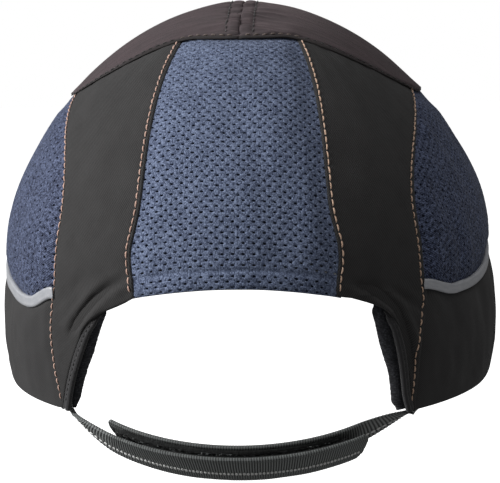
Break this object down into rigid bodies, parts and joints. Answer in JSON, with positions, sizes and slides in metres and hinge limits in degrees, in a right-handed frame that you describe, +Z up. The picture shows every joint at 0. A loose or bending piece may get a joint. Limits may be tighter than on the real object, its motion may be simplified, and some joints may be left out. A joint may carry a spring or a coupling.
{
  "type": "bump cap",
  "caption": "Fabric bump cap with navy mesh panels, black twill side bands, short peak, hard inner shell with foam pads, and a hook-and-loop rear strap below an open arch.",
  "frame": {"origin": "centre of the head space at brow level, where the cap is widest", "axes": "+X to the wearer's right, +Y forward over the peak, +Z up through the crown"},
  "size_m": [0.2, 0.2744, 0.169],
  "materials": {
    "crown_cloth": "woven polyester with a faint warm sheen",
    "mesh_fabric": "navy air mesh with small staggered holes",
    "black_twill": "black diagonal twill, matt",
    "reflective_piping": "silver retro-reflective cloth over a cord",
    "binding_tape": "folded woven tape, topstitched",
    "fleece_pad": "brushed fleece over thin foam",
    "terry_sweatband": "looped terry over foam",
    "shell_plastic": "moulded ABS, fine texture",
    "eva_foam": "closed-cell EVA foam, matt",
    "board_plastic": "flexible polyethylene board",
    "strap_webbing": "ribbed webbing with a light dotted line",
    "hook_tape": "moulded nylon hooks",
    "loop_tape": "napped nylon loops"
  },
  "bodies": {
    "cap": {"crown_panel_left": "crown_cloth", "crown_panel_right": "crown_cloth", "crown_seam_tape": "binding_tape", "rear_mesh_panel": "mesh_fabric", "arch_hem": "mesh_fabric", "rear_panel_left": "black_twill", "rear_panel_right": "black_twill", "side_mesh_left": "mesh_fabric", "side_mesh_right": "mesh_fabric", "side_band_left": "black_twill", "side_band_right": "black_twill", "front_panel": "black_twill", "piping_left": "reflective_piping", "piping_right": "reflective_piping", "flap_binding_left": "binding_tape", "flap_binding_right": "binding_tape", "neck_pad_left": "fleece_pad", "neck_pad_right": "fleece_pad", "sweatband": "terry_sweatband", "bump_shell": "shell_plastic", "crown_pad": "eva_foam", "front_pad": "eva_foam", "rear_pad": "eva_foam", "side_pad_left": "eva_foam", "side_pad_right": "eva_foam", "peak_cover_top": "black_twill", "peak_board": "board_plastic", "peak_cover_under": "black_twill", "peak_binding": "binding_tape", "strap_tab_left": "strap_webbing", "strap_tab_right": "strap_webbing"},
    "strap_left": {"strap_left": "strap_webbing", "hook_patch": "hook_tape"},
    "strap_right": {"strap_right": "strap_webbing", "loop_patch": "loop_tape"}
  },
  "joints": [
    {"name": "strap_left_swing", "type": "hinge", "parent": "cap", "child": "strap_left", "pos_m": [-0.06349, -0.06568, -0.0527], "axis": [-0.2543, 0.9671, 0], "range_deg": [0, 75]},
    {"name": "strap_right_swing", "type": "hinge", "parent": "cap", "child": "strap_right", "pos_m": [0.06349, -0.06568, -0.0527], "axis": [0.2543, 0.9671, 0], "range_deg": [0, 24]}
  ]
}
